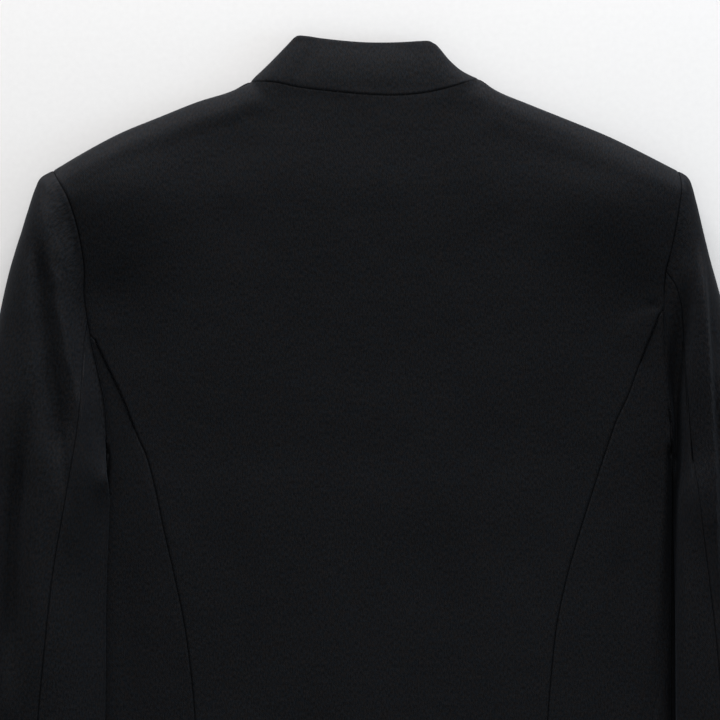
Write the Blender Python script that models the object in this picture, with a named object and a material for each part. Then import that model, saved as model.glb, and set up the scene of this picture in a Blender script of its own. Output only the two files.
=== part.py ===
"""Cropped military jacket with a stand collar, laid face down with its back up.

The garment lies on the plane z = 0: the fronts rest on the plane, the back lies over them
with the loft of its shoulder pads, and each two-piece sleeve lies as a soft tube at its side.
X runs across the back, Y from hem to collar and Z up. Sizes below are millimetres.
Every panel is a wall of cloth between an outer face and an inner face, and all outer faces
are read from two heights: the upper layer (back, sleeve tops) and the lower layer (fronts).
"""

from collections import namedtuple

import bpy
import numpy as np

MM = 0.001
SIDES = ("left", "right")
SIGN = {"left": -1, "right": 1}

# Driving sizes
CLOTH = 1.2  # body and sleeve wall: suiting with its lining
COLLAR_CLOTH = 2.2  # interfaced double collar wall
SEAM_GAP = 0.3  # distance between pieces at a seam
NECK_GAP = 0.5  # the same along the thick collar's seam
UNDERARM_EASE = 2.0  # more room at the underarm, where the folded edges of body and sleeve meet
UNDERARM_REACH = 14.0
HEM_Y = -184.0
UNDERARM_Y = 75.0
LAP = 12.0  # each front runs this far past centre front
LAP_RISE = 2.1  # lift of the left front where it lies on the right front
LAP_RISE_OVER = 30.0  # the left front climbs over this width
LAP_CLEAR = 24.0  # and is up this far before it reaches the right front's edge
EDGE_SHARE = 0.34  # height of a folded edge's widest point, as a share of the loft there
SHOULDER_ROUND = 16.0  # how far in from an edge the upper layer reaches its full loft
SIDE_ROUND = 13.0
OUTER_ROUND = 34.0
INNER_ROUND = 24.0
OUTER_ROUND_Y = (150, 265)  # between these levels the sleeve's outer edge turns into the shoulder's
INNER_ROUND_Y = (0, 75)  # and between these its inner edge turns into the body's side
LOWER_ROUND = 10.0  # the same for the lower layer
PAD_RISE = 8.5  # shoulder pad
PAD_X, PAD_Y = 188.0, 252.0
PAD_SPREAD_X, PAD_SPREAD_Y = 56.0, 46.0

# Loft of the body and of the sleeves along their length
Loft = namedtuple("Loft", "y body sleeve")
LOFTS = (
    Loft(-367, 14.0, 27.0),
    Loft(-260, 14.0, 33.0),
    Loft(-184, 14.5, 38.0),
    Loft(-60, 17.0, 43.5),
    Loft(75, 20.5, 46.0),
    Loft(180, 25.0, 44.0),
    Loft(260, 28.0, 39.0),
    Loft(340, 25.0, 36.0),
)
SIDE_FALL = 0.12  # share of its loft that the body loses from the centre to the side
HALF_WIDTH = 210.0

# A sleeve swells from the body's loft to its own over this distance from the armhole
Swell = namedtuple("Swell", "y left right")
SWELLS = (Swell(75, 16.0, 34.0), Swell(190, 18.0, 34.0), Swell(270, 30.0, 34.0))

# The left sleeve lies on the side of the body: it climbs below the underarm and comes down past the hem
CLIMB_LENGTH = 23.0
CLIMB_WIDTH = 20.0
CLIMB_CLEAR = 4.0  # it is up this far before it reaches the body
DESCENT_LENGTH = 40.0
SLEEVE_CLEAR = 1.2  # room between the sleeve and the body under it

# Outlines and seams in plan, one list of (x, y) for each side, from the top down
SHOULDER = {
    "left": ((-83, 336), (-97, 329.5), (-118, 323), (-172.5, 301), (-193, 291), (-207, 282.3), (-222, 273.5)),
    "right": ((78, 338), (90, 330.5), (106.5, 323.4), (162, 301), (185.5, 290.3), (207, 279), (219, 273)),
}
BACK_NECK = (
    (-83, 336), (-62, 334), (-49, 331), (-17.5, 327.2), (11, 325.3), (32, 326), (54, 330), (72, 336),
    (78, 338),
)
FRONT_NECK = {
    "left": ((-83, 336), (-73, 300), (-50, 262), (-26, 238), (-1, 230)),
    "right": ((78, 338), (69, 300), (48, 262), (25, 238), (1, 230)),
}
BACK_ARMHOLE = {
    "left": (
        (-222, 273.5), (-211.5, 257), (-206, 243), (-202, 227), (-199.2, 212), (-198.7, 199), (-199, 182),
        (-195.2, 158), (-189.8, 134), (-185.0, 112), (-183.4, 92), (-183.2, 75),
    ),
    "right": (
        (219, 273), (219.6, 261.4), (217.7, 247.5), (214.9, 230.3), (211.3, 213.2), (208.6, 202.4),
        (207.8, 190), (207.5, 176), (207.9, 152), (208.8, 132), (211.0, 112), (213.2, 93), (214, 75),
    ),
}
FRONT_ARMHOLE = {
    "left": ((-222, 273.5), (-207, 245), (-195, 205), (-187, 160), (-183.4, 120), (-182.9, 95), (-183.2, 75)),
    "right": ((219, 273), (209, 245), (206, 205), (206.5, 160), (210.4, 120), (213.3, 95), (214, 75)),
}
SIDE_BACK_SEAM = {
    "left": (
        (-191.6, 154), (-183.4, 137), (-174, 117.6), (-161, 84.7), (-153.5, 67), (-146.7, 35.7),
        (-138.7, 0), (-130.6, -37), (-124.5, -80), (-120.5, -130), (-119, -184),
    ),
    "right": (
        (204.4, 171.5), (199, 160), (190.4, 137), (183.7, 117.6), (175.6, 100.8), (168.4, 80.5),
        (153.9, 35.7), (142.7, -1.4), (133.7, -40), (129, -80), (125.5, -130), (124, -184),
    ),
}
APEX_Y = {"left": 158, "right": 176}  # where the side-back seam runs into the armhole
SIDE_EDGE = {
    "left": (
        (-183.2, 75), (-183.7, 69), (-184.2, 62), (-184.6, 55), (-186.2, 46), (-189.5, 31), (-194.5, 10),
        (-199, -25), (-200.5, -80), (-200, -184),
    ),
    "right": (
        (214, 75), (214.1, 69), (214.4, 60), (214.3, 45), (213.9, 20), (213.6, -20), (213.6, -70),
        (213.6, -110), (213.2, -150), (212, -184),
    ),
}
# How far the side seam lies in from the folded side edge, on the upper layer
SeamPlace = namedtuple("SeamPlace", "y inside")
SIDE_SEAM = (
    SeamPlace(-184, 24.0),
    SeamPlace(-110, 14.0),
    SeamPlace(-80, 6.5),
    SeamPlace(-45, 2.4),
    SeamPlace(-10, 0.9),
    SeamPlace(25, 0.25),
    SeamPlace(52, 0.05),
    SeamPlace(75, 0.0),
)

# Sleeve sections from armhole to cuff: the outer fold, the hind-arm seam and the inner fold
Section = namedtuple("Section", "outer_x outer_y hind_x hind_y inner_x inner_y")
SLEEVE = {
    "left": (
        Section(-222.0, 273.5, -196.6, 166, -183.2, 75),
        Section(-229.5, 269.3, -198.1, 157, -184.6, 69),
        Section(-233.8, 261.5, -198.9, 147, -185.3, 64),
        Section(-243.0, 232.0, -199.2, 129, -185.6, 57),
        Section(-252.0, 202.0, -199.8, 110, -185.2, 49),
        Section(-260.0, 165.0, -202.2, 89, -184.6, 39),
        Section(-267.0, 122.0, -206.5, 63, -183.9, 25),
        Section(-272.5, 70.0, -212.3, 30, -183.4, 4),
        Section(-275.0, 10.0, -219.0, -10, -183.6, -28),
        Section(-275.0, -60.0, -225.5, -70, -184.3, -78),
        Section(-272.0, -130.0, -231.0, -133, -184.5, -137),
        Section(-267.0, -200.0, -234.0, -200, -183.5, -203),
        Section(-260.0, -275.0, -233.5, -273, -177.0, -270),
        Section(-250.0, -367.0, -228.0, -363, -158.0, -351),
    ),
    "right": (
        Section(219.0, 273.0, 208.7, 202.5, 214.0, 75),
        Section(224.5, 269.3, 212.6, 197, 214.8, 69.5),
        Section(228.3, 262.0, 216.2, 190.5, 215.3, 64.5),
        Section(233.8, 240.0, 219.8, 177, 215.5, 58),
        Section(240.0, 212.0, 221.6, 156, 215.4, 50),
        Section(248.5, 180.0, 222.9, 131, 215.2, 41),
        Section(258.0, 145.0, 224.6, 103, 214.9, 30),
        Section(267.0, 105.0, 227.2, 72, 214.6, 16),
        Section(275.5, 57.0, 231.5, 33, 214.5, -6),
        Section(283.0, 0.0, 237.5, -15, 214.6, -42),
        Section(287.5, -70.0, 244.0, -75, 214.8, -93),
        Section(287.0, -140.0, 249.5, -142, 214.4, -150),
        Section(281.0, -210.0, 252.0, -208, 211.5, -208),
        Section(271.0, -282.0, 249.0, -278, 202.0, -268),
        Section(255.0, -367.0, 236.0, -363, 169.0, -350),
    ),
}
ROWS_PER_SECTION = 2
ARMHOLE_SECTIONS = 6  # the armhole's curve dies away over this many sections
UNDER_RELAX, FRONT_RELAX = 36.0, 9.0  # reach over which panels are evened out around the underarm
RELAX_ROUNDS = 24
FULL_SLANT = 90.0  # slant of a sleeve row, along the sleeve, from which it turns most
FOREARM_SHARE = 0.68  # place of the forearm seam across the sleeve's underside, from the outer fold

# Large folds: a path through three points in plan, its height and its spread to either side
Fold = namedtuple("Fold", "x_top y_top x_mid y_mid x_low y_low height spread_left spread_right")
FOLDS = {
    "left": (
        Fold(-231, 240, -222, 160, -214, 82, -5.0, 8, 9),
        Fold(-239, 112, -247, 20, -249, -95, -5.0, 8, 9),
        Fold(-224, 20, -231, -120, -236, -250, 2.5, 10, 10),
    ),
    "right": (
        Fold(231, 236, 225, 180, 217.5, 84, -5.0, 9, 8),
        Fold(236, 236, 240, 140, 247, 10, 5.0, 14, 10),
        Fold(258, -60, 262, -150, 262, -250, -4.5, 9, 9),
    ),
    "body": (
        Fold(-176, 214, -180, 192, -180, 165, -1.6, 16, 16),
        Fold(190, 210, 191, 192, 188, 168, -1.4, 14, 14),
    ),
}
FOLD_FADE = 0.3  # share of a fold's length over which it dies away at each end

# Stand collar: its free edge in plan, its height there, and how far its sides curve in
COLLAR_TOP = (
    (-52.5, 365), (-48.5, 368.2), (-40.6, 367.8), (-32, 366.3), (-14.7, 364.5), (4, 363.4), (25, 363.8),
    (43, 364.6), (48, 362.5),
)
COLLAR_FRONT_TOP = {
    "left": ((-52.5, 365), (-46, 335), (-33, 300), (-17, 279), (-1, 271)),
    "right": ((48, 362.5), (43, 335), (31, 300), (16, 279), (1, 271)),
}
COLLAR_LOFT = 17.0
COLLAR_EDGE = 7.0
COLLAR_ROUND = 9.0
COLLAR_SWELL = 2.2  # how far the band stands proud between seam and free edge
COLLAR_CURVE_IN = {"left": 0.5, "right": 3.6}
COLLAR_CURVE_REACH = 30.0
COLLAR_CURVE_SLOPE = 0.6

# Shares along a boundary at which a panel has its points
NECK_SHARES = (0, 0.014, 0.05, 0.11, 0.2, 0.35, 0.5, 0.65, 0.8, 0.89, 0.95, 0.986, 1)
FRONT_NECK_SHARES = (0, 0.02, 0.07, 0.16, 0.36, 0.66, 1)
SHOULDER_SHARES = (0, 0.1, 0.25, 0.45, 0.65, 0.85, 1)
COLLAR_SHARES = (0, 0.08, 0.3, 0.6, 0.88, 1)
SEAM_LEVELS = (-184, -150, -115, -80, -45, -10, 25, 52, 75, 84, 97, 114, 134)
SIDE_BACK_COLUMNS = 5
FRONT_FLAT_COLUMNS = 8
FRONT_WRAP_SHARES = (0.22, 0.44, 0.66, 0.84, 1)  # round the folded side edge to the side seam
TOP_SHARES = (0, 0.025, 0.09, 0.19, 0.32, 0.48, 0.65, 0.83, 1)  # outer fold to hind-arm seam
APEX_STEPS = 2  # hind-arm seam to side-back seam along the armhole
UNDERARM_SHARES = (0, 0.34, 0.6, 0.8, 0.93, 1)  # and on to the underarm
INNER_SHARES = (0, 0.2, 0.4, 0.58, 0.75, 0.88, 0.97, 1)  # hind-arm seam to inner fold
UNDER_SHARES = (0, 0.02, 0.07, 0.15, 0.3, 0.5, 0.7, 0.86, 1)  # outer fold to forearm seam
UNDER_INNER_SHARES = (0, 0.4, 0.72, 0.93, 1)  # forearm seam to inner fold
FINE = 300  # stretches of a line that distances are measured to
KNOT_STEPS = 40  # stretches of a smooth line between two given points
TURN_STEPS = 20  # points round a folded edge, before they are spaced out

CLOTH_COLOUR = (0.012, 0.0125, 0.0145, 1.0)
CLOTH_ROUGHNESS = 0.85
SHARP_ANGLE = np.radians(50)


def smooth(share):
    """0 to 1 with level ends."""
    share = np.clip(share, 0.0, 1.0)
    return share * share * (3.0 - 2.0 * share)


def steps(count):
    return np.linspace(0, 1, count + 1)


def read(table, column, y):
    """A named column of a table with a y column, read at these levels."""
    rows = sorted(table, key=lambda row: row.y)
    return np.interp(y, [row.y for row in rows], [getattr(row, column) for row in rows])


def spline(knots, station):
    """Smooth line through the knots, read at stations counted in knots."""
    knots = np.asarray(knots, float)
    ends = np.vstack([2 * knots[0] - knots[1], knots, 2 * knots[-1] - knots[-2]])
    low = np.minimum(station.astype(int), len(knots) - 2)
    t = (station - low)[:, None]
    a, b, c, d = (ends[low + k] for k in range(4))
    cubic = 2 * b + (c - a) * t + (2 * a - 5 * b + 4 * c - d) * t**2 + (3 * b - a - 3 * c + d) * t**3
    return cubic / 2


def resampled(line, shares):
    """Points at these shares of the length of a line of straight stretches."""
    along = np.concatenate([[0], np.cumsum(np.linalg.norm(np.diff(line, axis=0), axis=1))])
    wanted = np.asarray(shares, float) * along[-1]
    return np.column_stack([np.interp(wanted, along, line[:, k]) for k in range(line.shape[1])])


def curve(points, shares):
    """Points at these shares of the length of a smooth line through the given points."""
    station = np.linspace(0, len(points) - 1, KNOT_STEPS * (len(points) - 1) + 1)
    return resampled(spline(points, station), shares)


def distance(x, y, line):
    """Distance in plan from each point to a line of straight stretches."""
    point = np.stack([x, y], -1)[..., None, :]
    a, b = line[:-1], line[1:]
    along = b - a
    share = np.clip(((point - a) * along).sum(-1) / (along**2).sum(-1), 0, 1)
    return np.linalg.norm(point - (a + share[..., None] * along), axis=-1).min(-1)


LINES = {
    side: {
        "shoulder": curve(SHOULDER[side], steps(FINE)),
        "side": curve(SIDE_EDGE[side], steps(FINE)),
        "armhole": curve(BACK_ARMHOLE[side], steps(FINE)),
        "outer": curve([(row.outer_x, row.outer_y) for row in SLEEVE[side]], steps(FINE)),
        "inner": curve([(row.inner_x, row.inner_y) for row in SLEEVE[side]], steps(FINE)),
    }
    for side in SIDES
}


def edge_x(side, y):
    """Place of the folded side edge at a level."""
    line = LINES[side]["side"][::-1]
    return np.interp(y, line[:, 1], line[:, 0])


def rounded(far, reach):
    """Quarter-ellipse rise from an edge: 0 on it, 1 from reach onwards."""
    return np.sqrt(1.0 - (1.0 - np.clip(far / reach, 0.0, 1.0)) ** 2)


def fold_height(region, x, y):
    """Sum of the soft troughs and ridges of one region."""
    total = np.zeros_like(x)
    for fold in FOLDS[region]:
        levels = (fold.y_top, fold.y_mid, fold.y_low)
        places = (fold.x_top, fold.x_mid, fold.x_low)
        off = x - np.polyval(np.polyfit(levels, places, 2), y)
        along = (fold.y_top - y) / (fold.y_top - fold.y_low)
        strength = smooth(along / FOLD_FADE) * smooth((1 - along) / FOLD_FADE)
        spread = np.where(off < 0, fold.spread_left, fold.spread_right)
        total += fold.height * strength * np.exp(-((off / spread) ** 2))
    return total


def body_loft(x, y):
    """Full height of the body's upper layer, before its edges are rounded off."""
    height = read(LOFTS, "body", y) * (1 - SIDE_FALL * (x / HALF_WIDTH) ** 2)
    away = ((np.abs(x) - PAD_X) / PAD_SPREAD_X) ** 2 + ((y - PAD_Y) / PAD_SPREAD_Y) ** 2
    return height + PAD_RISE * np.exp(-away) + fold_height("body", x, y)


def sleeve_loft(side, x, y):
    """Full height of a sleeve: it leaves the armhole at the body's height and swells to its own."""
    own = read(LOFTS, "sleeve", y) + fold_height(side, x, y)
    share = smooth(distance(x, y, LINES[side]["armhole"]) / read(SWELLS, side, y))
    return body_loft(x, y) * (1 - share) + own * share


def sleeve_lift(side, x, y):
    """Height of the ground under a sleeve: only the left one lies on the body's side."""
    if side == "right":
        return np.zeros_like(x)
    along = smooth((UNDERARM_Y - y) / CLIMB_LENGTH)
    along = along * smooth((y - HEM_Y + CLIMB_CLEAR) / DESCENT_LENGTH + 1)
    before = edge_x(side, np.clip(y, HEM_Y, UNDERARM_Y)) - CLIMB_CLEAR
    across = smooth((x - before) / CLIMB_WIDTH + 1)
    return (body_loft(x, np.maximum(y, HEM_Y)) + SLEEVE_CLEAR) * along * across


def edge_factor(region, side, x, y):
    """How far the upper layer has risen from the folded edges around it, from 0 to 1."""
    lines = LINES[side]
    outer_round = np.interp(y, OUTER_ROUND_Y, (OUTER_ROUND, SHOULDER_ROUND))
    rise = rounded(distance(x, y, lines["shoulder"]), SHOULDER_ROUND)
    rise = rise * rounded(distance(x, y, lines["outer"]), outer_round)
    if region == "body":
        return rise * rounded(distance(x, y, lines["side"]), SIDE_ROUND)
    inner_round = np.interp(y, INNER_ROUND_Y, (INNER_ROUND, SIDE_ROUND))
    return rise * rounded(distance(x, y, lines["inner"]), inner_round)


def heights(region, side, x, y):
    """Height of the ground, of the folded edges and of the full loft."""
    loft = body_loft(x, y) if region == "body" else sleeve_loft(side, x, y)
    ground = np.zeros_like(x) if region == "body" else sleeve_lift(side, x, y)
    return ground, ground + EDGE_SHARE * (loft - ground), loft


def upper(region, side, plan):
    """Plan points lifted to the outer face of the upper layer."""
    x, y = plan[..., 0], plan[..., 1]
    _, edge, loft = heights(region, side, x, y)
    height = edge + (loft - edge) * edge_factor(region, side, x, y)
    return np.concatenate([plan, height[..., None]], -1)


def lower(region, side, plan):
    """Plan points lifted to the outer face of the lower layer, which rests on the plane."""
    x, y = plan[..., 0], plan[..., 1]
    ground, edge, _ = heights(region, side, x, y)
    names = ("shoulder", "outer", "side" if region == "body" else "inner")
    far = np.min([distance(x, y, LINES[side][name]) for name in names], axis=0)
    height = edge + (ground - edge) * rounded(far, LOWER_ROUND)
    return np.concatenate([plan, height[..., None]], -1)


def body_upper(plan):
    """Upper layer of a panel that spans both sides."""
    points = upper("body", "left", plan)
    on_right = plan[..., 0] >= 0
    points[on_right] = upper("body", "right", plan[on_right])
    return points


def lap_rise(x):
    """Lift of the left front, and of the collar on it, near centre front."""
    return LAP_RISE * smooth((x + LAP + LAP_CLEAR) / LAP_RISE_OVER + 1)


def shares_of(line):
    """Share of the whole length at each point of a line."""
    along = np.concatenate([[0], np.cumsum(np.linalg.norm(np.diff(line, axis=0), axis=1))])
    return along / along[-1]


def blended_patch(bottom, top, left, right):
    """Plan points that fill four boundary lines (rows run from bottom to top)."""
    v = ((shares_of(left) + shares_of(right)) / 2)[:, None, None]
    u = (1 - v) * shares_of(bottom)[None, :, None] + v * shares_of(top)[None, :, None]
    across = (1 - u) * left[:, None] + u * right[:, None]
    along = (1 - v) * bottom[None] + v * top[None]
    corners = (1 - u) * ((1 - v) * bottom[0] + v * top[0]) + u * ((1 - v) * bottom[-1] + v * top[-1])
    return across + along - corners


def armhole_points(side):
    """Back armhole from shoulder to underarm, with a point at the hind-arm and at the side-back seam."""
    levels = LINES[side]["armhole"][:, 1]
    hind = np.abs(levels - SLEEVE[side][0].hind_y).argmin() / FINE
    apex = np.abs(levels - APEX_Y[side]).argmin() / FINE
    shares = [hind * np.array(TOP_SHARES)]
    shares.append(np.linspace(hind, apex, APEX_STEPS + 1)[1:])
    shares.append(apex + (1 - apex) * np.array(UNDERARM_SHARES[1:]))
    return curve(BACK_ARMHOLE[side], np.concatenate(shares))


def front_armhole_points(side):
    """Front armhole from shoulder to underarm, with a point at the forearm seam."""
    below = FOREARM_SHARE + (1 - FOREARM_SHARE) * np.array(UNDER_INNER_SHARES[1:])
    return curve(FRONT_ARMHOLE[side], np.concatenate([FOREARM_SHARE * np.array(UNDER_SHARES), below]))


def side_back_points(side):
    """Side-back seam from hem to armhole at the shared levels."""
    line = curve(SIDE_BACK_SEAM[side], steps(FINE))[::-1]
    levels = np.append(SEAM_LEVELS, SIDE_BACK_SEAM[side][0][1])
    return np.column_stack([np.interp(levels, line[:, 1], line[:, 0]), levels])


def side_seam_points(side, levels):
    inside = read(SIDE_SEAM, "inside", levels)
    return np.column_stack([edge_x(side, levels) - SIGN[side] * inside, levels])


def back_panel():
    """Whole back between the two side-back seams, the armholes, the shoulders and the neck."""
    top = np.vstack([
        curve(SHOULDER["left"], SHOULDER_SHARES)[:0:-1],
        curve(BACK_NECK, NECK_SHARES),
        curve(SHOULDER["right"], SHOULDER_SHARES)[1:],
    ])
    seams = [side_back_points(side) for side in SIDES]
    lower_rows = np.linspace(*seams, len(top), axis=1)
    apex = len(TOP_SHARES) + APEX_STEPS
    holes = [armhole_points(side)[:apex][::-1] for side in SIDES]
    bottom = np.linspace(holes[0][0], holes[1][0], len(top))
    upper_rows = blended_patch(bottom, top, *holes)
    return body_upper(np.concatenate([lower_rows, upper_rows]))


def side_back_panel(side):
    """Side back from the side-back seam to the side seam and the armhole."""
    hole = armhole_points(side)[len(TOP_SHARES) + APEX_STEPS - 1 :][::-1]
    below = np.array([level for level in SEAM_LEVELS if level < UNDERARM_Y], float)
    outer = np.vstack([side_seam_points(side, below), hole])
    return upper("body", side, np.linspace(side_back_points(side), outer, SIDE_BACK_COLUMNS + 1, axis=1))


def front_row(side, level):
    """One row of a front from centre front over the plane, round the folded edge to the side seam."""
    edge = edge_x(side, level)
    inside = read(SIDE_SEAM, "inside", level)
    flat_x = np.linspace(-SIGN[side] * LAP, edge - SIGN[side] * LOWER_ROUND, FRONT_FLAT_COLUMNS + 1)
    flat = lower("body", side, np.column_stack([flat_x, np.full_like(flat_x, level)]))
    turn = np.linspace(0, np.pi / 2, TURN_STEPS)
    under_x = edge - SIGN[side] * LOWER_ROUND * (1 - np.sin(turn))
    wrap = lower("body", side, np.column_stack([under_x, np.full_like(under_x, level)]))
    if inside > 0:
        over_x = edge - SIGN[side] * inside * (1 - np.cos(turn))[1:]
        over = upper("body", side, np.column_stack([over_x, np.full_like(over_x, level)]))
        wrap = np.vstack([wrap, over])
    return np.vstack([flat, resampled(wrap, FRONT_WRAP_SHARES)])


def front_panel(side):
    """Front from centre front to the side seam, the armhole, the shoulder and the neck."""
    below = [float(level) for level in SEAM_LEVELS if level <= UNDERARM_Y]
    lower_rows = np.array([front_row(side, level) for level in below])
    hole = front_armhole_points(side)[::-1]
    neck = curve(FRONT_NECK[side], FRONT_NECK_SHARES)[::-1]
    start = (-SIGN[side] * LAP, neck[0, 1])
    top = np.vstack([start, neck, curve(SHOULDER[side], SHOULDER_SHARES)[1:]])
    centre = np.linspace((start[0], UNDERARM_Y), start, len(hole))
    upper_rows = blended_patch(lower_rows[-1, :, :2], top, centre, hole)
    points = np.concatenate([lower_rows, lower("body", side, upper_rows[1:])])
    points = relaxed(points, side, FRONT_RELAX, RELAX_ROUNDS)
    if side == "left":
        points[..., 2] += lap_rise(points[..., 0])
    return points


def sleeve_rows(side):
    """Outer fold, hind-arm seam and inner fold at each row from armhole to cuff."""
    last = len(SLEEVE[side]) - 1
    return spline(SLEEVE[side], np.linspace(0, last, last * ROWS_PER_SECTION + 1)).reshape(-1, 3, 2)


def sleeve_layer(outer, middle, inner, hole, first, second):
    """Plan rows of one sleeve layer from the outer fold, through a seam, to the inner fold."""
    first = np.array(first)[None, :, None]
    second = np.array(second)[None, 1:]
    # a row that slants runs along the sleeve first and then turns in to the inner fold
    slant = np.clip(np.abs(middle - inner)[:, 1:] / FULL_SLANT, 0, 1)
    turned = np.stack([second ** (1 + slant), 1 - (1 - second) ** (1 + slant)], -1)
    across = np.concatenate([
        outer[:, None] + first * (middle - outer)[:, None],
        middle[:, None] + turned * (inner - middle)[:, None],
    ], axis=1)
    past = np.arange(len(outer)) / (ARMHOLE_SECTIONS * ROWS_PER_SECTION)
    keep = (1 - np.minimum(past, 1)) ** 2
    return across + keep[:, None, None] * (hole - across[0])


def relaxed(points, side, reach, rounds):
    """A panel evened out around the underarm: points inside it move towards their neighbours."""
    away = np.linalg.norm(points[..., :2] - SIDE_EDGE[side][0], axis=-1, keepdims=True)
    share = np.exp(-((away / reach) ** 2))[1:-1, 1:-1]
    points = points.copy()
    for _ in range(rounds):
        around = points[:-2, 1:-1] + points[2:, 1:-1] + points[1:-1, :-2] + points[1:-1, 2:]
        points[1:-1, 1:-1] += share * (around / 4 - points[1:-1, 1:-1])
    return points


def sleeve_panels(side):
    """Top sleeve and under sleeve of one side, each as columns from one of its seams to the other."""
    outer, hind, inner = sleeve_rows(side).transpose(1, 0, 2)
    forearm = outer + FOREARM_SHARE * (inner - outer)
    over = sleeve_layer(outer, hind, inner, armhole_points(side), TOP_SHARES, INNER_SHARES)
    below = sleeve_layer(outer, forearm, inner, front_armhole_points(side), UNDER_SHARES, UNDER_INNER_SHARES)
    over, below = upper("sleeve", side, over), lower("sleeve", side, below)
    hind_column, forearm_column = len(TOP_SHARES) - 1, len(UNDER_SHARES) - 1
    top_sleeve = np.concatenate([over[:, hind_column::-1], below[:, 1 : forearm_column + 1]], axis=1)
    under_sleeve = np.concatenate([below[:, forearm_column:-1], over[:, : hind_column - 1 : -1]], axis=1)
    return top_sleeve, relaxed(under_sleeve, side, UNDER_RELAX, RELAX_ROUNDS)


def collar_band():
    """Band round the neck from centre front to centre front: its back lies over its two front halves."""
    back_seam, back_free = curve(BACK_NECK, NECK_SHARES), curve(COLLAR_TOP, NECK_SHARES)
    corners = {"left": back_free[0], "right": back_free[-1]}
    seams, edges = {}, {}
    for side in SIDES:
        seams[side] = lower("body", side, curve(FRONT_NECK[side], FRONT_NECK_SHARES))
        free = curve(COLLAR_FRONT_TOP[side], FRONT_NECK_SHARES)
        fall = 1 - rounded(np.linalg.norm(free - corners[side], axis=1), COLLAR_ROUND)
        edges[side] = np.column_stack([free, COLLAR_EDGE * fall])
        if side == "left":
            seams[side][:, 2] += lap_rise(seams[side][:, 0])
            edges[side][:, 2] += lap_rise(edges[side][:, 0])
    to_corner = np.min([np.linalg.norm(back_free - corners[side], axis=1) for side in SIDES], axis=0)
    height = COLLAR_EDGE + (COLLAR_LOFT - COLLAR_EDGE) * rounded(to_corner, COLLAR_ROUND)
    seam = np.vstack([seams["left"][:0:-1], body_upper(back_seam), seams["right"][1:]])
    edge = np.vstack([edges["left"][:0:-1], np.column_stack([back_free, height]), edges["right"][1:]])
    rows = np.array([seam * (1 - share) + edge * share for share in COLLAR_SHARES])
    bow = np.sin(np.pi * np.array(COLLAR_SHARES))[:, None]
    start = len(FRONT_NECK_SHARES) - 1
    swell = np.zeros(len(seam))
    swell[start : start + len(NECK_SHARES)] = COLLAR_SWELL * np.sqrt(np.sin(np.pi * np.array(NECK_SHARES)))
    rows[..., 2] += bow * swell
    for side in SIDES:
        beside = (rows[..., 0] - SHOULDER[side][0][0]) / COLLAR_CURVE_REACH
        drawn_in = COLLAR_CURVE_IN[side] * np.exp(-(beside**2)) * bow
        rows[..., 0] -= SIGN[side] * drawn_in
        rows[..., 1] -= COLLAR_CURVE_SLOPE * drawn_in
    return rows


def unit(vectors):
    return vectors / np.linalg.norm(vectors, axis=-1, keepdims=True)


def heading(points, axis):
    """Direction of a grid's lines at each point, halfway between the stretches before and after it."""
    stretches = unit(np.diff(points, axis=axis))
    first, last = stretches.take([0], axis), stretches.take([-1], axis)
    before = np.concatenate([first, stretches], axis)
    after = np.concatenate([stretches, last], axis)
    return unit(before + after)


def facing(points):
    """Unit normals of a grid of points, outwards as its columns and rows are ordered."""
    return unit(np.cross(heading(points, 1), heading(points, 0)))


def parted(points, gap):
    """All four borders of a panel moved in by half a gap, each square to its own line."""
    gap = np.full((*points.shape[:2], 1), gap)
    for side in SIDES:
        away = np.linalg.norm(points[..., :2] - SIDE_EDGE[side][0], axis=-1, keepdims=True)
        gap += UNDERARM_EASE * np.exp(-((away / UNDERARM_REACH) ** 2))
    normal = facing(points)
    moves = np.zeros((2, *points.shape))
    for border, inward in ((0, 1), (-1, -1)):
        tangent = np.gradient(points[border], axis=0)
        moves[0, border] = inward * unit(np.cross(tangent, -normal[border]))
        tangent = np.gradient(points[:, border], axis=0)
        moves[1, :, border] = inward * unit(np.cross(tangent, normal[:, border]))
    meeting = (moves[0] * moves[1]).sum(-1, keepdims=True)
    return points + (moves[0] + moves[1]) / (1 + meeting) * gap / 2


def mitred(panels):
    """Normals of every panel, shared where two panels meet, so that their walls meet in a mitre."""
    normals, masks = {}, {}
    for name, points in panels.items():
        normals[name] = facing(points)
        masks[name] = np.ones(points.shape[:2], bool)
        masks[name][1:-1, 1:-1] = False
    places = np.vstack([panels[name][masks[name]] for name in panels])
    directions = np.vstack([normals[name][masks[name]] for name in panels])
    for name in panels:
        own = panels[name][masks[name]]
        near = np.linalg.norm(own[:, None] - places[None], axis=-1) < SEAM_GAP
        normals[name][masks[name]] = unit(near.astype(float) @ directions)
    return normals


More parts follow.
